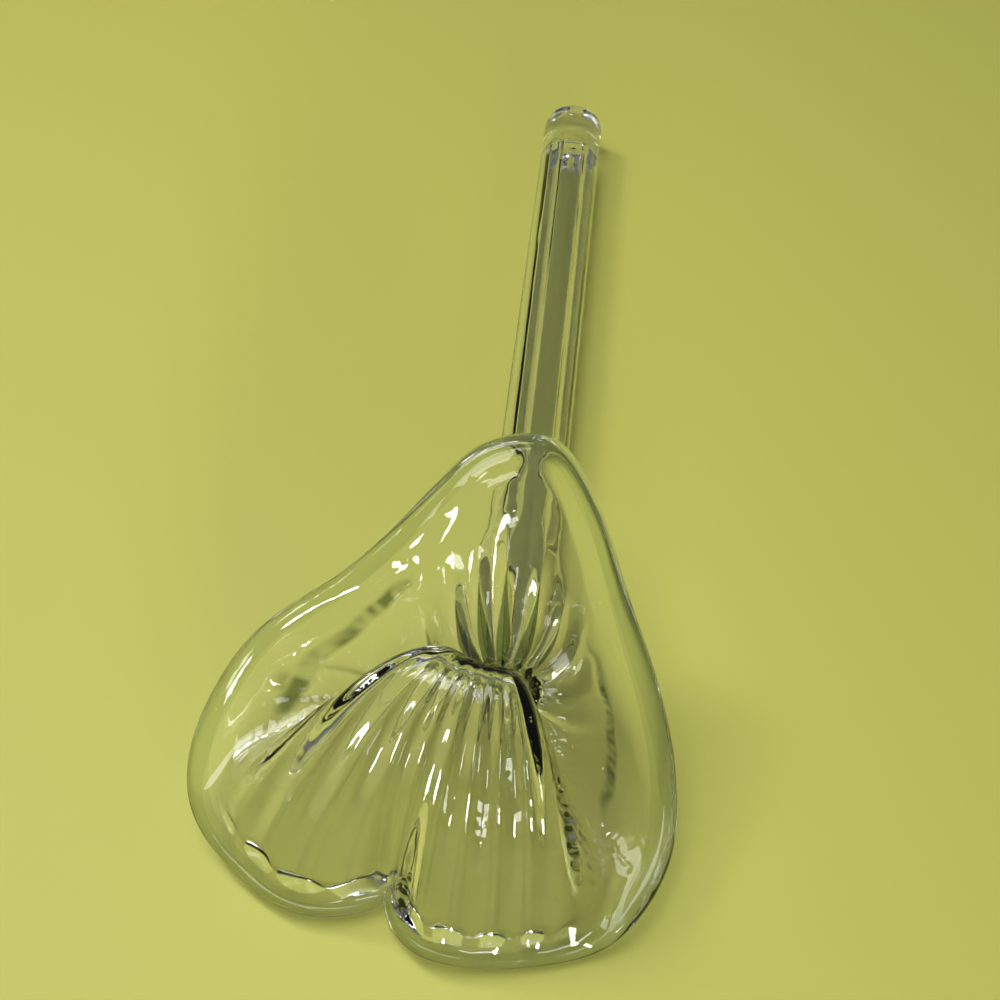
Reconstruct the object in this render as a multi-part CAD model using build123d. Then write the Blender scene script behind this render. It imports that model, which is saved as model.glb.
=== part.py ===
from build123d import *

import os
from math import atan2, cos, exp, pi, radians, sin, sqrt

# A blown glass lily trumpet, lying on its stem and on the two lobes of its front lip.
# The stem runs along +Y, the flower opens towards -Y and up, and Z is 0 where the glass rests.

# ---- Driving dimensions, in millimetres and degrees ----
STEM_RADIUS = 9.0  # outside of the straight stem, which plugs into a holder
BORE_RADIUS = 6.2  # inside of the blown stem
STEM_LENGTH = 191.4  # straight tube, from the neck to the sealed end
NECK_BEND_RADIUS = 15.0  # centre line of the bend below the flower
NECK_ANGLE = 90.0  # how far the bend lifts the flower's axis off the stem's axis
END_LENGTH = 22.0  # solid glass that seals the stem, nub included
END_SHOULDER = 15.0  # length of the seal that keeps the stem's full radius
NUB_RADIUS = 2.0  # the drawn-off point at the very end
WALL = STEM_RADIUS - BORE_RADIUS  # glass thickness all through the flower
BEAD_RADIUS = 2.5  # the fire-polished bead round the lip

# ---- The flower, in polar form round its own axis ----
# Angle 0 is the raised back of the flower, 90 its right side and 180 its front.  The two lists
# give the lip's distance from the axis and its height above the throat, every 20 degrees.
FIRST_STATION = 10.0
STATION_STEP = 20.0
LIP_REACH = [38.5, 32, 27.5, 27, 30.5, 37, 45, 49.5, 50, 51, 53, 60.5, 65.5, 53.5, 36, 30.5, 31.5, 36]
LIP_HEIGHT = [34.5, 26, 18.5, 11, 1.5, -7.5, -15, -19, -19, -17, -17.5, -17.5, -11, 4, 16, 23, 28.5, 34.5]
NOTCH_ANGLE = 206.0  # where the two lobes of the front lip meet
NOTCH_DEPTH = 6.0
NOTCH_WIDTH = 10.0
FRONT_ANGLE = 199.5  # the middle of the front lip, which rises as a hood and rolls over
HOOD_HALF_WIDTH = 47.0
HOOD_FLANK = 4.5  # how gently the hood's flanks turn, in degrees
HOOD_SPREAD = 12.0  # how far the hood's flanks lean out over the gutters, in degrees
GUTTER_ANGLE = 68.0  # angle of each side gutter from the middle of the front lip
GUTTER_WIDTH = 16.0

# ---- What the wall does between the throat and the lip ----
BACK_LEAVE = 6.0  # how far the wall climbs straight out of the neck
HOOD_LEAVE = 12.0
BACK_BELLY = (19.0, 5.0)  # radius and height that round out the bottom of the cup
HOOD_BELLY = (5.0, 52.0)  # and that raise the front wall before it rolls over
GUTTER_BELLY_DROP = 2.0
CREST_SHARE = 0.6  # where the crest heights act, from the throat to the lip
BACK_DROP = 6.0  # how far the back petal sags below a straight line to its lip
HOOD_CROWN = 40.0  # how far the hood stands above its own lip
GUTTER_DROP = 6.0  # how far the two gutters dip below the rest of the flower

QUARTERS = 4
QUARTER_POINTS = 30
WALL_RINGS = [0.0, 0.06, 0.12, 0.19, 0.27, 0.36, 0.46, 0.57, 0.68, 0.79, 0.9, 1.0]
BEAD_RINGS = 9


def station_value(values, angle):
    """A smooth closed curve through one value per station."""
    place = (angle - FIRST_STATION) / STATION_STEP % len(values)
    index = int(place)
    t = place - index
    a, b, c, d = (values[(index + k) % len(values)] for k in (-1, 0, 1, 2))
    return b + 0.5 * t * (c - a + t * (2 * a - 5 * b + 4 * c - d + t * (3 * (b - c) + d - a)))


def turn_from(angle, middle):
    """Signed angle between two directions round the flower."""
    return (angle - middle + 180.0) % 360.0 - 180.0


def bump(angle, middle, width):
    """A smooth bump of height 1."""
    return exp(-((turn_from(angle, middle) / width) ** 2))


def hood(angle):
    """1 over the rolled front lip and 0 elsewhere, with smooth flanks."""
    past_flank = (abs(turn_from(angle, FRONT_ANGLE)) - HOOD_HALF_WIDTH) / HOOD_FLANK
    return 1.0 / (1.0 + exp(past_flank))


def gutters(angle):
    """1 along the bottom of the two side gutters and 0 elsewhere."""
    left = bump(angle, FRONT_ANGLE + GUTTER_ANGLE, GUTTER_WIDTH)
    right = bump(angle, FRONT_ANGLE - GUTTER_ANGLE, GUTTER_WIDTH)
    return left + right


def in_flower(angle, radius, height):
    """A point in the flower's own axes."""
    return Vector(radius * sin(radians(angle)), radius * cos(radians(angle)), height)


def meridian(angle):
    """Five control points of the wall's middle line at one angle, from the throat to the lip."""
    throat = STEM_RADIUS - WALL / 2
    reach = station_value(LIP_REACH, angle)
    height = station_value(LIP_HEIGHT, angle)
    notch = NOTCH_DEPTH * bump(angle, NOTCH_ANGLE, NOTCH_WIDTH)
    over = hood(angle)
    dip = gutters(angle)
    leave = BACK_LEAVE + over * (HOOD_LEAVE - BACK_LEAVE)
    belly_radius = BACK_BELLY[0] + over * (HOOD_BELLY[0] - BACK_BELLY[0])
    belly_height = BACK_BELLY[1] + over * (HOOD_BELLY[1] - BACK_BELLY[1]) - dip * GUTTER_BELLY_DROP
    crest = height + over * HOOD_CROWN - dip * GUTTER_DROP - (1 - over) * BACK_DROP
    crest_radius = throat + CREST_SHARE * (reach - throat)
    spread = HOOD_SPREAD * over * turn_from(angle, FRONT_ANGLE) / HOOD_HALF_WIDTH
    return [
        in_flower(angle, throat, 0.0),
        in_flower(angle, throat, leave),
        in_flower(angle, belly_radius, belly_height),
        in_flower(angle + spread, crest_radius, crest),
        in_flower(angle, reach - notch, height),
    ]


def weighted(weights, vectors):
    """A weighted sum of vectors."""
    return sum((vector * weight for weight, vector in zip(weights, vectors)), Vector(0, 0, 0))


def middle_point(u, angle):
    """A point of the wall's middle surface, u running from the throat to the lip."""
    w = 1.0 - u
    weights = (w**4, 4 * w**3 * u, 6 * w * w * u * u, 4 * w * u**3, u**4)
    return weighted(weights, meridian(angle))


def wall_frame(u, angle):
    """A middle point, the way out to the lip, and the normal of the wall's inner face."""
    w = 1.0 - u
    weights = (w**3, 3 * w * w * u, 3 * w * u * u, u**3)
    points = meridian(angle)
    outward = weighted(weights, [q - p for p, q in zip(points, points[1:])]).normalized()
    around = middle_point(u, angle + 0.1) - middle_point(u, angle - 0.1)
    normal = around.cross(outward).normalized()
    return middle_point(u, angle), outward, normal


def ring(point_at):
    """A closed smooth wire, in quarters, through points all round the flower."""
    edges = []
    for quarter in range(QUARTERS):
        start = FIRST_STATION + quarter * 360.0 / QUARTERS
        angles = [start + 360.0 / QUARTERS * k / QUARTER_POINTS for k in range(QUARTER_POINTS + 1)]
        ways = [point_at(a + 0.05) - point_at(a - 0.05) for a in (angles[0], angles[-1])]
        edges.append(Edge.make_spline([point_at(a) for a in angles], tangents=ways))
    return Wire(edges)


def wall_ring(u, side):
    """A ring on the inner (side 1) or outer (side -1) face of the wall."""

    def point_at(angle):
        point, _, normal = wall_frame(u, angle)
        return point + normal * (side * WALL / 2)

    return ring(point_at)


def bead_ring(turn):
    """A ring on the round bead, turn radians round its section from the wall's middle line."""
    offset = sqrt(BEAD_RADIUS**2 - (WALL / 2) ** 2)

    def point_at(angle):
        point, outward, normal = wall_frame(1.0, angle)
        along = offset - BEAD_RADIUS * cos(turn)
        return point + outward * along - normal * (BEAD_RADIUS * sin(turn))

    return ring(point_at)


def ruled_faces(first, last):
    """Flat-sided strips between two matching rings."""
    return [Face.make_surface_from_curves(*pair) for pair in zip(first.edges(), last.edges())]


def closed_solid(faces):
    """One solid from faces that share their edges."""
    return Solid(Shell(Face.sew_faces(faces)[0]))


def on_throat(solid):
    """Moves a solid from the flower's own axes to the end of the neck."""
    rise = NECK_BEND_RADIUS * (1 - cos(radians(NECK_ANGLE)))
    reach = NECK_BEND_RADIUS * sin(radians(NECK_ANGLE))
    return Pos(0, -reach, rise) * Rot(90 - NECK_ANGLE, 0, 0) * solid


def make_bloom():
    """The flared and rolled flower, from the throat to the bead."""
    outer = [wall_ring(u, -1) for u in WALL_RINGS]
    inner = [wall_ring(u, 1) for u in WALL_RINGS]
    throat = Face(outer[0], [inner[0]])
    faces = [*Shell.make_loft(outer).faces(), *Shell.make_loft(inner).faces()]
    return on_throat(closed_solid([*faces, throat, *ruled_faces(outer[-1], inner[-1])]))


def make_lip_bead():
    """The thick rounded bead that the lip melts into."""
    start = atan2(WALL / 2, sqrt(BEAD_RADIUS**2 - (WALL / 2) ** 2))
    turns = [start + (2 * pi - 2 * start) * k / (BEAD_RINGS - 1) for k in range(BEAD_RINGS)]
    rings = [bead_ring(turn) for turn in turns]
    faces = [*Shell.make_loft(rings).faces(), *ruled_faces(rings[0], rings[-1])]
    return on_throat(closed_solid(faces))


def stem_section():
    """The round hollow section of the stem and the neck, square to the stem's axis."""
    return Plane.XZ * (Circle(STEM_RADIUS) - Circle(BORE_RADIUS))


def make_neck():
    """The bend that lifts the flower off the stem."""
    axis = Axis((0, 0, NECK_BEND_RADIUS), (-1, 0, 0))
    return revolve(stem_section(), axis, NECK_ANGLE)


def make_stem_tube():
    """The straight hollow stem."""
    return extrude(stem_section(), -STEM_LENGTH)


def make_stem_end():
    """The solid rounded seal of the stem, with its small drawn-off point."""
    middle = (0, 0)
    shoulder = (STEM_RADIUS, END_SHOULDER)
    nub = (NUB_RADIUS, END_LENGTH - NUB_RADIUS)
    tip = (0, END_LENGTH)
    outline = Line(middle, (STEM_RADIUS, 0)) + Line((STEM_RADIUS, 0), shoulder)
    outline += Spline(shoulder, nub, tangents=[(0, 1), (-1, 0.6)])
    outline += Spline(nub, tip, tangents=[(-0.8, 1), (-1, 0)])
    outline += Line(tip, middle)
    return Pos(0, STEM_LENGTH, 0) * revolve(make_face(outline), Axis.Y)


nodes = {
    "bloom": make_bloom(),
    "lip_bead": make_lip_bead(),
    "neck": make_neck(),
    "stem_tube": make_stem_tube(),
    "stem_end": make_stem_end(),
}

boxes = [solid.bounding_box() for solid in nodes.values()]
middle_x = (min(box.min.X for box in boxes) + max(box.max.X for box in boxes)) / 2
middle_y = (min(box.min.Y for box in boxes) + max(box.max.Y for box in boxes)) / 2
lowest_z = min(box.min.Z for box in boxes)
to_origin = Pos(-middle_x, -middle_y, -lowest_z)

os.makedirs("parts", exist_ok=True)
for name, solid in nodes.items():
    placed = to_origin * solid
    box = placed.bounding_box()
    print(name, placed.is_valid, round(placed.volume), box.min, box.max)
    export_step(placed, f"parts/{name}.step")
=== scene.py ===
from math import cos, pi, radians, sin, sqrt

import bpy
import numpy as np
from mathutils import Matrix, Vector


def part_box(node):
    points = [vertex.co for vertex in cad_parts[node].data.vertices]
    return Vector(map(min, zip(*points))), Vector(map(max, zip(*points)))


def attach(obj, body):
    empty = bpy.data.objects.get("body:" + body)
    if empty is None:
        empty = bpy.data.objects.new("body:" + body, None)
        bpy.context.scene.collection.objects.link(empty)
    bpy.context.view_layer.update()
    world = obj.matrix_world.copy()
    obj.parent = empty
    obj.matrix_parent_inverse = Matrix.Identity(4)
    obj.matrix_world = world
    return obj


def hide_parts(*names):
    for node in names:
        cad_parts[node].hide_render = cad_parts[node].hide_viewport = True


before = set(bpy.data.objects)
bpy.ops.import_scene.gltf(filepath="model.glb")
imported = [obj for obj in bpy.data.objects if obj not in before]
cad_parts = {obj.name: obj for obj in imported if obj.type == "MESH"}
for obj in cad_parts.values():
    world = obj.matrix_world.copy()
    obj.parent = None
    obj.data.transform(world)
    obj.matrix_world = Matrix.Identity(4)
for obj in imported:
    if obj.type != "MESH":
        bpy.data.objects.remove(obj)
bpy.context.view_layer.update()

# ---- The flower's sizes, in millimetres and degrees, as in the CAD model ----
MM = 0.001  # a millimetre in metres
STEM_RADIUS = 9.0  # outside of the straight stem
BORE_RADIUS = 6.2  # inside of the blown stem
STEM_LENGTH = 191.4  # straight tube, from the neck to the sealed end
NECK_BEND_RADIUS = 15.0  # centre line of the bend below the flower
NECK_ANGLE = 90.0  # how far the bend lifts the flower's axis off the stem's axis
END_SHOULDER = 15.0  # length of the seal that keeps the stem's full radius
WALL = STEM_RADIUS - BORE_RADIUS  # glass thickness all through the flower
BEAD_RADIUS = 2.5  # the fire-polished bead round the lip
BEAD_OFFSET = sqrt(BEAD_RADIUS**2 - (WALL / 2) ** 2)  # from the end of the wall to the bead's middle

# Angle 0 is the raised back of the flower, 90 its right side and 180 its front.  The two lists
# give the lip's distance from the flower's axis and its height above the throat, at each station.
FIRST_STATION = 10.0
STATION_STEP = 20.0
LIP_REACH = [38.5, 32, 27.5, 27, 30.5, 37, 45, 49.5, 50, 51, 53, 60.5, 65.5, 53.5, 36, 30.5, 31.5, 36]
LIP_HEIGHT = [34.5, 26, 18.5, 11, 1.5, -7.5, -15, -19, -19, -17, -17.5, -17.5, -11, 4, 16, 23, 28.5, 34.5]
FRONT_ANGLE = 199.5  # the middle of the front lip, which rises as a hood and rolls over
NOTCH_ANGLE = 206.0  # where the two lobes of the front lip meet
NOTCH_DEPTH = 6.0
NOTCH_WIDTH = 10.0
HOOD_HALF_WIDTH = 47.0
HOOD_FLANK = 4.5  # how gently the hood's flanks turn
HOOD_SPREAD = 12.0  # how far the hood's flanks lean out over the gutters
GUTTER_ANGLE = 68.0  # angle of each side gutter from the middle of the front lip
GUTTER_WIDTH = 16.0
BACK_LEAVE = 6.0  # how far the wall climbs straight out of the neck
HOOD_LEAVE = 12.0
BACK_BELLY = (19.0, 5.0)  # radius and height that round out the bottom of the cup
HOOD_BELLY = (5.0, 52.0)  # and that raise the front wall before it rolls over
GUTTER_BELLY_DROP = 2.0
CREST_SHARE = 0.6  # where the crest heights act, from the throat to the lip
BACK_DROP = 6.0  # how far the back petal sags below a straight line to its lip
HOOD_CROWN = 40.0  # how far the hood stands above its own lip
GUTTER_DROP = 6.0  # how far the two gutters dip below the rest of the flower

# ---- What the CAD model leaves out ----
# Depths are in millimetres, angles in degrees.  Rises and spans are shares of the way from the
# throat, 0, to the lip, 1: a rise is where something starts and where it is whole, and a span
# also says where it begins to fade and where it is gone.
NOTCH_FOLD = 3.0  # the sharper fold inside the notch
NOTCH_FOLD_WIDTH = 4.5
NOTCH_FOLD_RISE = (0.75, 1.0)

RIBS = 15  # optic ribs round the flower
RIB_SHIFT = 2.5  # how unevenly the ribs are spaced
RIB_DEPTH = 2.0  # how much the wall's thickness changes over a rib
RIB_RISE = (0.0, 0.22)
RIB_FADE = (0.42, 0.8)  # where the ribs of the back petal die out
THROAT_RIB_DEPTH = 0.4
HOOD_RIB_SHARE = 0.1  # how much of the ribs' depth is left on the rolled front lip
RIB_SPREAD = -11.0  # the ribs stand further apart at the back of the throat
RIB_GATHER = 26.0  # and crowd together at the back lip
RIB_GATHER_RISE = (0.1, 1.0)
RIB_SWAY = 0.35  # how much of a rib's depth the whole wall follows
INNER_RIB_SHARE = 0.5 + RIB_SWAY  # how much of the depth is on the inner face
OUTER_RIB_SHARE = 0.5 - RIB_SWAY
GROOVE_ROUNDING = 0.012
MEAN_SCALLOP = 0.64  # the ridges' mean height, which is taken off them

FINE_RIBS = 40  # narrow ripples, which show on the front lip only
FINE_DEPTH = 0.95
FINE_RISE = (0.4, 0.85)
FINE_TWIST = 40.0

SLIT_MIDDLE = 350.0  # the grooves between the ribs cover SLIT_FAN to each side of this angle
SLIT_FAN = 62.0
SLIT_WIDTH = 0.42  # half the width of a groove at its foot, in rib spacings
SLIT_TIP_WIDTH = 0.02
SLIT_UNEVENNESS = 0.35
SLIT_SPAN = (0.0, 0.1, 0.5, 0.62)
SLIT_DEPTH = 0.7

STEM_RIBS = 11
STEM_RIB_DEPTH = 0.5
STEM_RIB_TWIST = 0.05  # degrees for each millimetre of stem

WAVE_HEIGHT = 0.5  # slow hand-made waves of the wall
WAVE_RISE = (0.05, 0.4)
WAVE_ORDERS = 7
MELT_LENGTH = 6.0  # the wall thickens into the bead over this length
BEAD_UNEVENNESS = 0.05

SIDE_LINES = [(282.0, 27.0, 0.86), (100.0, 30.0, 0.73)]  # middle, reach to each side, share of the way
SIDE_LINE_WIDTH = 0.042
SIDE_LINE_WANDER = 0.02
SIDE_LINE_HEIGHT = 0.7
OVAL_PLACE = (269.0, 0.76)
OVAL_SIZE = (4.5, 0.15)
OVAL_WIDTH = 0.3  # how wide its line is next to its size
OVAL_SHARE = 0.55  # how strong the oval is next to the lines

CREASE_ANGLE = 66.0  # the creases where the rolled lip begins, from the middle of the front
CREASE_DEPTH = 0.9
CREASE_WIDTH = 1.6
CREASE_RISE = (0.62, 0.85)

PUCKER_STEP = 1.9  # the small puckers inside the side gutters
PUCKER_DEPTH = 0.13
PUCKER_SPAN = (0.3, 0.55, 0.85, 1.0)
CRUMPLE_ANGLE = 149.0  # where the right flank of the front lip is crumpled
CRUMPLE_WIDTH = 4.0
CRUMPLE_SHARE = 1.6  # how deep it is next to the puckers
CRUMPLE_SPAN = (0.65, 0.75, 0.92, 1.0)

END_TIP = [(0.15, 22), (1.7, 21.9), (1.7, 20.9), (2.6, 20.2)]  # radius and place up the sealed end
END_DOME = [(2.6, 20.2), (5.4, 19.7), (STEM_RADIUS, 18.6), (STEM_RADIUS, END_SHOULDER)]
END_UNEVENNESS = 0.02
END_WAVE_RISE = (0.0, 6.0)  # in millimetres up the sealed end
END_RIB_FADE = (0.0, 12.0)  # and so is this
BORE_END_DEPTH = 4.5
BORE_END_TURN = 0.485 * pi  # the last ring of the bore's end is a little short of its pole
POLE_STEP = 0.01

# ---- One seed for each kind of wave ----
WALL_SEED = 1
PUCKER_SEED = 3
BEAD_SEED = 5
END_SEED = 7
MOTTLE_SEED = 11
LINE_SEED = 13
FINE_MOTTLE_SEED = 17

# ---- Mesh density ----
COLUMNS = 528
STEM_ROWS = 60
NECK_ROWS = 30
WALL_ROWS = 130
BEAD_ROWS = 22
MELT_ROWS = 5
END_ROWS = 14
SHOULDER_ROWS = 8

# ---- Looks ----
CLEAR_TINT = (0.985, 0.995, 0.98)
PAINTED_SHADE_TINT = (0.1, 0.13, 0.08)  # painted shade: the glass's tint where the grooves and the side lines are darkest
GROOVE_PAINTED_SHADE_RISE = (0.02, 0.3)  # a groove's strength where its painted shade starts and where it is whole
LINE_PAINTED_SHADE_RISE = (0.2, 0.8)  # and a side line's
LEAST_LINE_SHADE = 0.35  # the side lines' painted shade is mottled between this and 1 of its full strength
MOTTLE_RANGE = (-0.9, 0.9)
BEAD_TINT = (0.8, 0.85, 0.76)
GLASS_IOR = 1.5
EVEN = (1.0, 1.0, 1.0)  # how the waves in the glass's surface are stretched
LENGTHWISE = (1.0, 0.12, 1.0)
TABLE_COLOUR = (0.56, 0.56, 0.11)
TABLE_ROUGHNESS = 0.6

# ---- Studio, in metres, watts and degrees, with the lens in millimetres ----
TABLE_HALF_WIDTH = 12.0
SKY_COLOUR = (0.95, 1.0, 0.93)
SKY_STRENGTH = 0.14
SOFTBOXES = [  # name, place, aim, size, power, spread in degrees
    ("ceiling", (-0.15, -0.1, 0.9), (0, -0.02, 0), (0.55, 0.45), 4.2, 180.0),
    ("window_left", (-0.5, 0.2, 0.75), (0, -0.03, 0), (0.14, 0.24), 2.4, 180.0),
    ("window_front", (0.33, -0.72, 0.27), (0, -0.09, 0.03), (0.13, 0.09), 0.85, 180.0),
    ("window_low", (0.1, -0.86, 0.12), (0, -0.09, 0), (0.16, 0.07), 0.25, 50.0),
]
CAMERA_FROM_THROAT = (0.0184, -0.17623, 0.276)
CAMERA_TURN = (40.0, 0.0, 6.0)
CAMERA_LENS = 54.0
SENSOR_WIDTH = 36.0
LIGHT_BOUNCES = 32


def smooth_step(value, start, end):
    """0 before start and 1 after end, with a smooth rise."""
    t = np.clip((value - start) / (end - start), 0.0, 1.0)
    return t * t * (3.0 - 2.0 * t)


def within(value, span):
    """1 inside a span of four values and 0 outside, with a smooth rise and fall."""
    start, whole, fade, end = span
    return smooth_step(value, start, whole) * (1.0 - smooth_step(value, fade, end))


# ---- The same surface as the CAD model ----


def station_value(values, angle):
    """A smooth closed curve through one value per station."""
    place = (angle - FIRST_STATION) / STATION_STEP % len(values)
    index = np.floor(place).astype(int)
    t = place - index
    a, b, c, d = (np.take(values, (index + k) % len(values)) for k in (-1, 0, 1, 2))
    return b + 0.5 * t * (c - a + t * (2 * a - 5 * b + 4 * c - d + t * (3 * (b - c) + d - a)))


def turn_from(angle, middle):
    """Signed angle between two directions round the flower."""
    return (angle - middle + 180.0) % 360.0 - 180.0


def bump(angle, middle, width):
    """A smooth bump of height 1."""
    return np.exp(-((turn_from(angle, middle) / width) ** 2))


def hood(angle):
    """1 over the rolled front lip and 0 elsewhere, with smooth flanks."""
    past_flank = (np.abs(turn_from(angle, FRONT_ANGLE)) - HOOD_HALF_WIDTH) / HOOD_FLANK
    return 1.0 / (1.0 + np.exp(past_flank))


def gutters(angle):
    """1 along the bottom of the two side gutters and 0 elsewhere."""
    left = bump(angle, FRONT_ANGLE + GUTTER_ANGLE, GUTTER_WIDTH)
    right = bump(angle, FRONT_ANGLE - GUTTER_ANGLE, GUTTER_WIDTH)
    return left + right


def meridian(angle):
    """Five control points of the wall's middle line at each angle, from the throat to the lip."""
    throat = STEM_RADIUS - WALL / 2
    reach = station_value(LIP_REACH, angle)
    notch = NOTCH_DEPTH * bump(angle, NOTCH_ANGLE, NOTCH_WIDTH)
    height = station_value(LIP_HEIGHT, angle)
    over = hood(angle)
    dip = gutters(angle)
    leave = BACK_LEAVE + over * (HOOD_LEAVE - BACK_LEAVE)
    belly_radius = BACK_BELLY[0] + over * (HOOD_BELLY[0] - BACK_BELLY[0])
    belly_height = BACK_BELLY[1] + over * (HOOD_BELLY[1] - BACK_BELLY[1]) - dip * GUTTER_BELLY_DROP
    crest = height + over * HOOD_CROWN - dip * GUTTER_DROP - (1 - over) * BACK_DROP
    crest_radius = throat + CREST_SHARE * (reach - throat)
    spread = angle + HOOD_SPREAD * over * turn_from(angle, FRONT_ANGLE) / HOOD_HALF_WIDTH
    return [
        in_flower(angle, throat, 0.0),
        in_flower(angle, throat, leave),
        in_flower(angle, belly_radius, belly_height),
        in_flower(spread, crest_radius, crest),
        in_flower(angle, reach - notch, height),
    ]


def in_flower(angle, radius, height):
    """Points or directions in the flower's own axes."""
    turn = np.radians(angle)
    return np.stack([radius * np.sin(turn), radius * np.cos(turn), height + 0 * angle], axis=-1)


def middle_points(u, angle):
    """Points of the wall's middle surface, u running from the throat to the lip."""
    w = 1.0 - u
    weights = (w**4, 4 * w**3 * u, 6 * w * w * u * u, 4 * w * u**3, u**4)
    fold = NOTCH_FOLD * smooth_step(u, *NOTCH_FOLD_RISE) * bump(angle, NOTCH_ANGLE, NOTCH_FOLD_WIDTH)
    smooth = sum(k * point for k, point in zip(weights, meridian(angle)))
    return smooth - in_flower(angle, fold, 0.0)


def unit(vectors):
    """The vectors, each made 1 long."""
    return vectors / np.linalg.norm(vectors, axis=-1, keepdims=True)


def wall_frame(u, angle):
    """Middle points, the ways out to the lip, and the normals of the wall's inner face."""
    w = 1.0 - u
    weights = (w**3, 3 * w * w * u, 3 * w * u * u, u**3)
    points = meridian(angle)
    outward = unit(sum(k * (q - p) for k, p, q in zip(weights, points, points[1:])))
    around = middle_points(u, angle + 0.1) - middle_points(u, angle - 0.1)
    return middle_points(u, angle), outward, unit(np.cross(around, outward))


# ---- Ribs, waves and creases ----


def scallops(count, angle):
    """Rounded ridges with tight grooves between them, between about -0.5 and 0.4."""
    wave = np.sin(pi * count * angle / 360.0)
    return np.sqrt(wave**2 + GROOVE_ROUNDING) - MEAN_SCALLOP


def slow_waves(seed, angle, along):
    """Gentle waves round the flower and along its wall, about 1 high."""
    random = np.random.default_rng(seed)
    total = 0.0
    for order in range(1, WAVE_ORDERS + 1):
        phase = random.uniform(0, 2 * pi)
        drift = random.uniform(-5, 5)
        turns = random.uniform(1.5, 6)
        total = total + np.sin(np.radians(order * angle) + phase + drift * along) * np.cos(turns * along)
    return total / sqrt(WAVE_ORDERS)


def rib_angle(u, angle):
    """The angle as the ribs count it: they crowd together towards the back lip."""
    sway = np.sin(np.radians(3 * angle) + 0.7) + 0.6 * np.sin(np.radians(5 * angle) + 2.1)
    gather = RIB_SPREAD + (RIB_GATHER - RIB_SPREAD) * smooth_step(u, *RIB_GATHER_RISE)
    return angle + RIB_SHIFT * sway + gather * np.sin(np.radians(angle))


def rib_strength(u, angle):
    """Depth of the ribs: strong above the throat, gone at the hood's flanks and the back lip."""
    over = hood(angle)
    grow = THROAT_RIB_DEPTH + (RIB_DEPTH - THROAT_RIB_DEPTH) * smooth_step(u, *RIB_RISE)
    back = 1.0 - smooth_step(u, *RIB_FADE)
    off_flank = (1.0 - 4.0 * over * (1.0 - over)) ** 2
    return grow * off_flank * (back + over * (HOOD_RIB_SHARE - back))


def slits(u, angle):
    """The sharp grooves between the ribs of the back petal, each a long narrow leaf."""
    place = RIBS * rib_angle(u, angle) / 360.0
    off_line = np.abs((place + 0.5) % 1.0 - 0.5)
    _, foot, _, tip = SLIT_SPAN
    width = SLIT_WIDTH * (1.0 - smooth_step(u, foot, tip)) + SLIT_TIP_WIDTH
    unevenness = 1.0 + SLIT_UNEVENNESS * np.sin(5.0 * np.round(place) + 1.0)
    leaf = np.clip(1.0 - off_line / (width * unevenness), 0.0, 1.0)
    behind = np.exp(-((turn_from(angle, SLIT_MIDDLE) / SLIT_FAN) ** 4))
    return leaf * behind * within(u, SLIT_SPAN)


def side_lines(u, angle):
    """The uneven line along each side of the flower, inside its rim, and the oval on the left."""
    lines = 0.0
    for middle, reach, place in SIDE_LINES:
        window = np.exp(-((turn_from(angle, middle) / reach) ** 4))
        wander = place + SIDE_LINE_WANDER * slow_waves(LINE_SEED, 4 * angle, 0.0)
        lines = lines + window * np.exp(-(((u - wander) / SIDE_LINE_WIDTH) ** 2))
    angle_off = turn_from(angle, OVAL_PLACE[0]) / OVAL_SIZE[0]
    u_off = (u - OVAL_PLACE[1]) / OVAL_SIZE[1]
    off_oval = (np.hypot(angle_off, u_off) - 1.0) / OVAL_WIDTH
    return np.maximum(lines, OVAL_SHARE * np.exp(-(off_oval**2)))


def creases(u, angle):
    """The two tool creases at the ends of the rolled lip."""
    place = np.abs(turn_from(angle, FRONT_ANGLE))
    line = np.exp(-np.abs(place - CREASE_ANGLE) / CREASE_WIDTH)
    return line * smooth_step(u, *CREASE_RISE)


def ripples(u, angle):
    """The narrow ripples of the front lip."""
    wave = np.sin(np.radians(FINE_RIBS * angle + FINE_TWIST * u))
    return hood(angle) ** 3 * smooth_step(u, *FINE_RISE) * wave


def puckers(u, angle):
    """The small puckers in the side gutters and the crumpled right flank of the front lip."""
    along = u * station_value(LIP_REACH, angle)
    wave = np.sin(2 * pi * along / PUCKER_STEP + 4 * slow_waves(PUCKER_SEED, 3 * angle, u))
    crumple = CRUMPLE_SHARE * bump(angle, CRUMPLE_ANGLE, CRUMPLE_WIDTH) * within(u, CRUMPLE_SPAN)
    return (gutters(angle) * within(u, PUCKER_SPAN) + crumple) * wave


def face_reliefs(u, angle):
    """How far the outer and the inner face stand off the plain wall."""
    ribs = rib_strength(u, angle) * scallops(RIBS, rib_angle(u, angle))
    wave = WAVE_HEIGHT * smooth_step(u, *WAVE_RISE) * slow_waves(WALL_SEED, angle, u)
    inner = INNER_RIB_SHARE * ribs + wave
    inner = inner + FINE_DEPTH * ripples(u, angle) + PUCKER_DEPTH * puckers(u, angle)
    inner = inner - CREASE_DEPTH * creases(u, angle) - SLIT_DEPTH * slits(u, angle)
    inner = inner + SIDE_LINE_HEIGHT * side_lines(u, angle)
    return OUTER_RIB_SHARE * ribs - wave, inner


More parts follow.
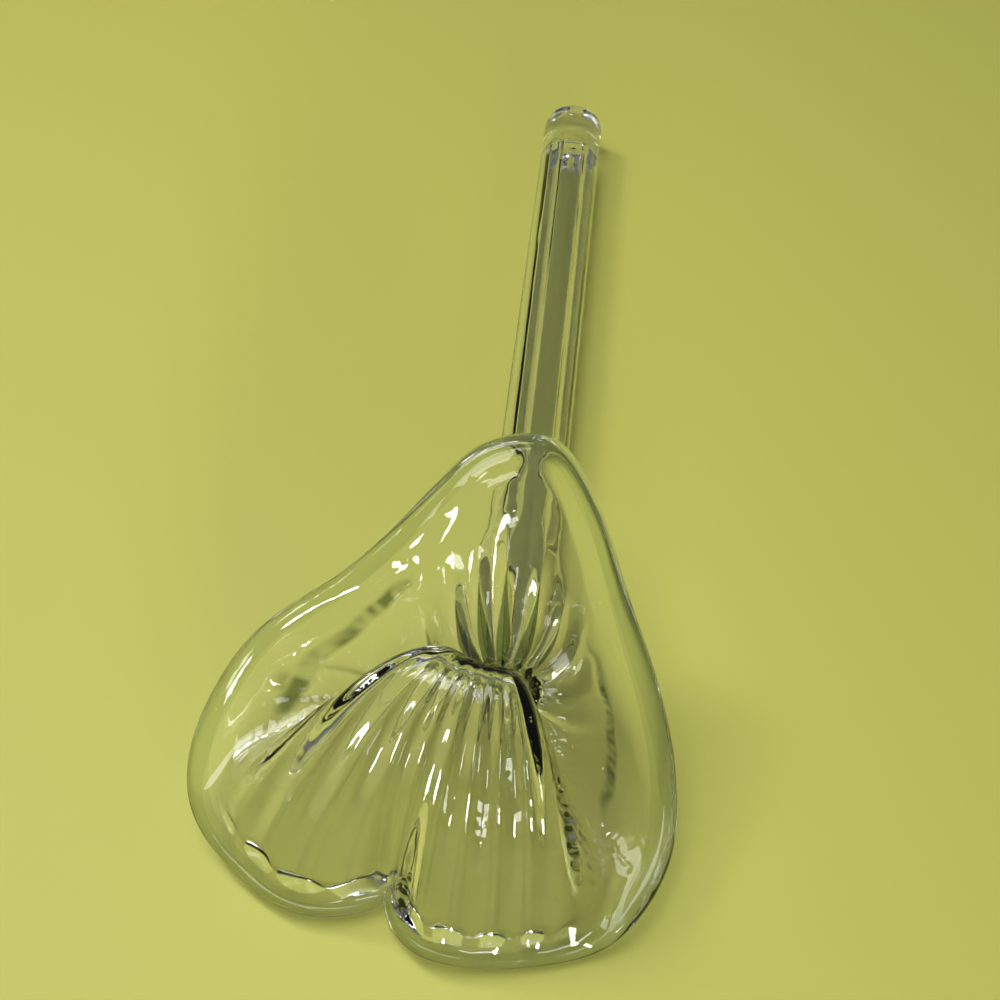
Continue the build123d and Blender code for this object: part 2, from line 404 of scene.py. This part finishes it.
def wall_shades(angle):
    """How free of painted shade the inner face is, 1 for clear glass: the grooves and the side lines get
    painted shade, mottled along the lines.
    """
    shades = []
    for u in np.linspace(0.0, 1.0, WALL_ROWS):
        # painted shade in the grooves and, mottled, along the side lines
        slit = smooth_step(slits(u, angle), *GROOVE_PAINTED_SHADE_RISE)
        patches = slow_waves(MOTTLE_SEED, 5 * angle, 3 * u)
        patches = patches + 0.6 * slow_waves(FINE_MOTTLE_SEED, 17 * angle, 6 * u)
        patches = smooth_step(patches, *MOTTLE_RANGE)
        mottle = LEAST_LINE_SHADE + (1.0 - LEAST_LINE_SHADE) * patches
        line = mottle * smooth_step(side_lines(u, angle), *LINE_PAINTED_SHADE_RISE)
        shades.append((1.0 - slit) * (1.0 - line))
    return np.array(shades)


def melt(distance):
    """Half the glass's thickness at a distance before the middle of the bead."""
    grown = 1.0 - smooth_step(distance, 0.0, MELT_LENGTH + BEAD_OFFSET)
    return WALL / 2 + (BEAD_RADIUS - WALL / 2) * grown


# ---- Rows of points, from the tip of the stem over the lip and back down the bore ----


def on_throat(points):
    """Points from the flower's own axes to the end of the neck, in the neck's frame."""
    turn = radians(NECK_ANGLE)
    x, y, z = np.moveaxis(points, -1, 0)
    reach = -NECK_BEND_RADIUS * sin(turn)
    rise = NECK_BEND_RADIUS * (1 - cos(turn))
    back = reach + y * sin(turn) - z * cos(turn)
    up = rise + y * cos(turn) + z * sin(turn)
    return np.stack([x, back, up], axis=-1)


def stem_ring(angle, radius, bend, along):
    """A ring round the stem: bend degrees into the neck, or along millimetres up the tube."""
    turn = radians(bend)
    x, y, _ = np.moveaxis(in_flower(angle, radius, 0 * angle), -1, 0)
    reach = along - NECK_BEND_RADIUS * sin(turn)
    rise = NECK_BEND_RADIUS * (1 - cos(turn))
    return np.stack([x, reach + y * sin(turn), rise + y * cos(turn)], axis=-1)


def stem_relief(angle, bend, along):
    """How much the ribs thicken the wall of the neck and the stem."""
    blend = bend / NECK_ANGLE
    flower = THROAT_RIB_DEPTH * scallops(RIBS, rib_angle(0.0, angle))
    own = STEM_RIB_DEPTH * scallops(STEM_RIBS, rib_angle(0.0, angle) + STEM_RIB_TWIST * along)
    return blend * flower + (1 - blend) * own


def stem_rows(angle, bends_and_places, outside):
    """Rings of the outer or the inner face along the neck or the tube."""
    rows = []
    for bend, along in bends_and_places:
        relief = stem_relief(angle, bend, along)
        if outside:
            radius = STEM_RADIUS + OUTER_RIB_SHARE * relief
        else:
            radius = BORE_RADIUS - INNER_RIB_SHARE * relief
        rows.append(stem_ring(angle, radius, bend, along))
    return rows


def wall_rows(angle, outside):
    """Rings of the outer or the inner face of the flower, from the throat to the bead."""
    lip = middle_points(1.0, angle)
    rows = []
    for u in np.linspace(0.0, 1.0, WALL_ROWS):
        point, _, normal = wall_frame(u, angle)
        before_bead = np.linalg.norm(lip - point, axis=-1) + BEAD_OFFSET
        outer, inner = face_reliefs(u, angle)
        fade = smooth_step(before_bead, BEAD_OFFSET, BEAD_OFFSET + MELT_LENGTH)
        if outside:
            off_middle = -melt(before_bead) - outer * fade
        else:
            off_middle = melt(before_bead) + inner * fade
        rows.append(on_throat(point + normal * off_middle[..., None]))
    return rows


def bead_rows(angle):
    """Rings round the melted lip, from the wall's outer face to its inner face."""
    point, outward, normal = wall_frame(1.0, angle)
    swell = BEAD_UNEVENNESS * slow_waves(BEAD_SEED, angle, 0.0)
    section = []  # distances along the wall's line and off it
    for along in np.linspace(0.0, BEAD_OFFSET, MELT_ROWS)[:-1]:
        section.append((along, -melt(BEAD_OFFSET - along)))
    for turn in np.linspace(0.0, pi, BEAD_ROWS):
        section.append((BEAD_OFFSET + BEAD_RADIUS * sin(turn), -BEAD_RADIUS * cos(turn)))
    for along in np.linspace(BEAD_OFFSET, 0.0, MELT_ROWS)[1:]:
        section.append((along, melt(BEAD_OFFSET - along)))
    rows = []
    for along, side in section:
        grown = 1.0 + swell * smooth_step(along, 0.0, BEAD_OFFSET)
        offset = outward * (along * grown)[:, None] + normal * (side * grown)[:, None]
        rows.append(on_throat(point + offset))
    return rows


def bezier(points, count):
    """Points along a cubic curve in two dimensions."""
    t = np.linspace(0.0, 1.0, count)[:, None]
    p = np.array(points, dtype=float)
    return (1 - t) ** 3 * p[0] + 3 * (1 - t) ** 2 * t * p[1] + 3 * (1 - t) * t * t * p[2] + t**3 * p[3]


def end_rows(angle):
    """The outside of the sealed end, from the drawn-off point to the tube."""
    tip = bezier(END_TIP, END_ROWS)
    dome = bezier(END_DOME, 2 * END_ROWS)
    places = np.linspace(END_SHOULDER, 0, SHOULDER_ROWS + 1)[1:]
    shoulder = np.stack([np.full(SHOULDER_ROWS, STEM_RADIUS), places], axis=-1)
    ribs = OUTER_RIB_SHARE * stem_relief(angle, 0.0, STEM_LENGTH)
    rows = []
    for radius, along in np.concatenate([tip[:-1], dome, shoulder]):
        waves = slow_waves(END_SEED, angle, along / END_SHOULDER)
        uneven = 1.0 + END_UNEVENNESS * waves * smooth_step(along, *END_WAVE_RISE)
        relief = ribs * (1 - smooth_step(along, *END_RIB_FADE))
        rows.append(stem_ring(angle, radius * uneven + relief, 0.0, STEM_LENGTH + along))
    return rows


def bore_end_rows(angle):
    """The rounded bottom of the bore, inside the sealed end."""
    ribs = INNER_RIB_SHARE * stem_relief(angle, 0.0, STEM_LENGTH)
    rows = []
    for turn in np.linspace(0.0, BORE_END_TURN, END_ROWS):
        radius = BORE_RADIUS * cos(turn) - ribs * cos(turn) ** 2
        rows.append(stem_ring(angle, radius, 0.0, STEM_LENGTH + BORE_END_DEPTH * sin(turn)))
    return rows


# ---- Meshes ----


def grid_normals(grid):
    """Outward normals of a grid that is closed round its columns."""
    along = np.gradient(grid, axis=0)
    around = np.roll(grid, -1, axis=1) - np.roll(grid, 1, axis=1)
    return unit(np.cross(along, around))


def closing_fan(ring, pole):
    """Triangles from a ring of vertex numbers to one vertex."""
    count = len(ring)
    return [(pole, ring[(k + 1) % count], ring[k]) for k in range(count)]


def glass_piece(name, node, material, grids, poles=()):
    """One visible piece from grids of the skin, each with its points, normals and freedom from painted
    shade.

    A pole closes a ring: it has a point, a normal, the ring's first vertex and whether to reverse it.
    """
    vertices, normals, shades, faces = [], [], [], []
    first = 0
    for points, directions, shade in grids:
        rows, columns, _ = points.shape
        numbers = first + np.arange(rows * columns).reshape(rows, columns)
        after = np.roll(numbers, -1, axis=1)
        quads = np.stack([numbers[:-1], numbers[1:], after[1:], after[:-1]], axis=-1)
        faces.extend(quads.reshape(-1, 4).tolist())
        vertices.append(points.reshape(-1, 3))
        normals.append(directions.reshape(-1, 3))
        shades.append(shade.reshape(-1))
        first += rows * columns
    for point, direction, ring_start, reverse in poles:
        ring = list(range(ring_start, ring_start + COLUMNS))
        if reverse:
            ring.reverse()
        faces.extend(closing_fan(ring, first))
        vertices.append(np.array([point]))
        normals.append(np.array([direction]))
        shades.append(np.ones(1))
        first += 1
    mesh = bpy.data.meshes.new(name)
    mesh.from_pydata((np.concatenate(vertices) * MM + ORIGIN).tolist(), [], faces)
    mesh.shade_smooth()
    mesh.normals_split_custom_set_from_vertices(np.concatenate(normals).tolist())
    # 1 is clear glass and 0 is full painted shade, which the material reads
    free_of_painted_shade = mesh.attributes.new("free_of_painted_shade", "FLOAT", "POINT")
    free_of_painted_shade.data.foreach_set("value", np.concatenate(shades).astype(np.float32))
    mesh.materials.append(material)
    piece = bpy.data.objects.new(name, mesh)
    bpy.context.scene.collection.objects.link(piece)
    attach(piece, "root")
    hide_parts(node)


# ---- Materials ----


def add_node(tree, kind, **values):
    """A shader node with its inputs or settings set by name."""
    node = tree.nodes.new(kind)
    for name, value in values.items():
        socket = name.replace("_", " ").title()
        if socket in node.inputs:
            node.inputs[socket].default_value = value
        else:
            setattr(node, name, value)
    return node


def glass_material(name, tint, wave_scale, wave_stretch, wave_height, painted_shade_tint=None):
    """Clear glass with faint waves in its surface, with painted shade of the given tint where the mesh
    asks for it.
    """
    material = bpy.data.materials.new(name)
    material.use_nodes = True
    tree = material.node_tree
    shader = tree.nodes["Principled BSDF"]
    shader.inputs["Base Color"].default_value = (*tint, 1.0)
    shader.inputs["Roughness"].default_value = 0.0
    shader.inputs["IOR"].default_value = GLASS_IOR
    shader.inputs["Transmission Weight"].default_value = 1.0
    place = add_node(tree, "ShaderNodeTexCoord")
    stretch = add_node(tree, "ShaderNodeMapping")
    stretch.inputs["Scale"].default_value = wave_stretch
    waves = add_node(tree, "ShaderNodeTexNoise", scale=wave_scale, detail=3.0, roughness=0.45)
    lift = add_node(tree, "ShaderNodeBump", strength=1.0, distance=wave_height)
    tree.links.new(place.outputs["Object"], stretch.inputs["Vector"])
    tree.links.new(stretch.outputs["Vector"], waves.inputs["Vector"])
    tree.links.new(waves.outputs["Fac"], lift.inputs["Height"])
    tree.links.new(lift.outputs["Normal"], shader.inputs["Normal"])
    # painted shade: the colour runs from the painted-shade tint to the clear tint by the mesh's attribute
    if painted_shade_tint:
        free_of_painted_shade = add_node(tree, "ShaderNodeAttribute", attribute_name="free_of_painted_shade")
        tone = add_node(tree, "ShaderNodeValToRGB")
        tone.color_ramp.elements[0].color = (*painted_shade_tint, 1.0)
        tone.color_ramp.elements[1].color = (*tint, 1.0)
        tree.links.new(free_of_painted_shade.outputs["Fac"], tone.inputs["Fac"])
        tree.links.new(tone.outputs["Color"], shader.inputs["Base Color"])
    return material


def floor_material():
    """A plain yellow-green table top."""
    material = bpy.data.materials.new("table_top")
    material.use_nodes = True
    shader = material.node_tree.nodes["Principled BSDF"]
    shader.inputs["Base Color"].default_value = (*TABLE_COLOUR, 1.0)
    shader.inputs["Roughness"].default_value = TABLE_ROUGHNESS
    return material


# ---- The object ----

tube_low, tube_high = (Vector(corner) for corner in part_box("stem_tube"))
ORIGIN = np.array([(tube_low.x + tube_high.x) / 2, tube_low.y, (tube_low.z + tube_high.z) / 2])
THROAT = Vector(ORIGIN + MM * on_throat(np.zeros(3)))

angles = FIRST_STATION + 360.0 * np.arange(COLUMNS) / COLUMNS
tube_places = [(0.0, along) for along in np.linspace(0.0, STEM_LENGTH, STEM_ROWS)]
neck_places = [(bend, 0.0) for bend in np.linspace(0.0, NECK_ANGLE, NECK_ROWS)]

# The glass has one skin, from the tip of the stem over the lip to the bottom of the bore.
sections = {
    "end_outside": end_rows(angles),
    "tube_outside": stem_rows(angles, tube_places[::-1], True),
    "neck_outside": stem_rows(angles, neck_places, True),
    "wall_outside": wall_rows(angles, True),
    "bead": bead_rows(angles),
    "wall_inside": wall_rows(angles, False)[::-1],
    "neck_inside": stem_rows(angles, neck_places[::-1], False),
    "tube_inside": stem_rows(angles, tube_places, False),
    "bore_end": bore_end_rows(angles),
}
skin = []
spans = {}
for section, rows in sections.items():
    start = max(len(skin) - 1, 0)
    skin.extend(rows if not skin else rows[1:])
    spans[section] = slice(start, len(skin))
skin = np.array(skin)
skin_normals = grid_normals(skin)
# Painted shade on the bloom's inner face only; everywhere else the glass stays clear.
skin_shades = np.ones(skin.shape[:2])
skin_shades[spans["wall_inside"]] = wall_shades(angles)[::-1]


def strips(*names):
    """The named sections of the skin, each with its normals and its freedom from painted shade."""
    return [(skin[spans[name]], skin_normals[spans[name]], skin_shades[spans[name]]) for name in names]


# The bloom's and the neck's glass; painted shade darkens the bloom's grooves and side lines.
CLEAR = glass_material("clear_glass", CLEAR_TINT, 60.0, EVEN, 0.0006, PAINTED_SHADE_TINT)
BEAD = glass_material("bead_glass", BEAD_TINT, 70.0, EVEN, 0.0004)
STEM = glass_material("stem_glass", CLEAR_TINT, 90.0, LENGTHWISE, 0.0004)

glass_piece("bloom_glass", "bloom", CLEAR, strips("wall_outside", "wall_inside"))
glass_piece("lip_bead_glass", "lip_bead", BEAD, strips("bead"))
glass_piece("neck_glass", "neck", CLEAR, strips("neck_outside", "neck_inside"))
glass_piece("stem_tube_glass", "stem_tube", STEM, strips("tube_outside", "tube_inside"))

stem_tip = skin[0].mean(axis=0) + [0, POLE_STEP, 0]
bore_bottom = skin[-1].mean(axis=0) + [0, POLE_STEP, 0]
bore_ring = (len(sections["end_outside"]) + len(sections["bore_end"]) - 1) * COLUMNS
end_poles = [(stem_tip, (0, 1, 0), 0, False), (bore_bottom, (0, -1, 0), bore_ring, True)]
glass_piece("stem_end_glass", "stem_end", STEM, strips("end_outside", "bore_end"), end_poles)

# ---- Floor, light and camera ----


def add_floor():
    """A wide flat table top."""
    mesh = bpy.data.meshes.new("table_top")
    half = TABLE_HALF_WIDTH
    corners = [(-half, -half, 0), (half, -half, 0), (half, half, 0), (-half, half, 0)]
    mesh.from_pydata(corners, [], [(0, 1, 2, 3)])
    mesh.materials.append(floor_material())
    floor = bpy.data.objects.new("table_top", mesh)
    bpy.context.scene.collection.objects.link(floor)


def add_softbox(name, place, aim, size, power, spread):
    """A soft rectangular studio light."""
    data = bpy.data.lights.new(name, "AREA")
    data.shape = "RECTANGLE"
    data.size, data.size_y = size
    data.energy = power
    data.spread = radians(spread)
    light = bpy.data.objects.new(name, data)
    light.location = place
    light.rotation_euler = (Vector(aim) - Vector(place)).to_track_quat("-Z", "Y").to_euler()
    bpy.context.scene.collection.objects.link(light)


def add_world():
    """Dim even light from all round."""
    world = bpy.data.worlds.new("studio")
    world.use_nodes = True
    background = world.node_tree.nodes["Background"]
    background.inputs["Color"].default_value = (*SKY_COLOUR, 1.0)
    background.inputs["Strength"].default_value = SKY_STRENGTH
    bpy.context.scene.world = world


def add_camera():
    """A camera at the photograph's viewing angle, close above the front of the flower."""
    data = bpy.data.cameras.new("camera")
    data.sensor_width = SENSOR_WIDTH
    data.lens = CAMERA_LENS
    data.clip_start = 0.01
    camera = bpy.data.objects.new("camera", data)
    camera.location = THROAT + Vector(CAMERA_FROM_THROAT)
    camera.rotation_euler = [radians(turn) for turn in CAMERA_TURN]
    bpy.context.scene.collection.objects.link(camera)
    bpy.context.scene.camera = camera


add_floor()
add_world()
for softbox in SOFTBOXES:
    add_softbox(*softbox)
add_camera()
bpy.context.scene.view_settings.view_transform = "Standard"
bpy.context.scene.cycles.max_bounces = LIGHT_BOUNCES
bpy.context.scene.cycles.transmission_bounces = LIGHT_BOUNCES
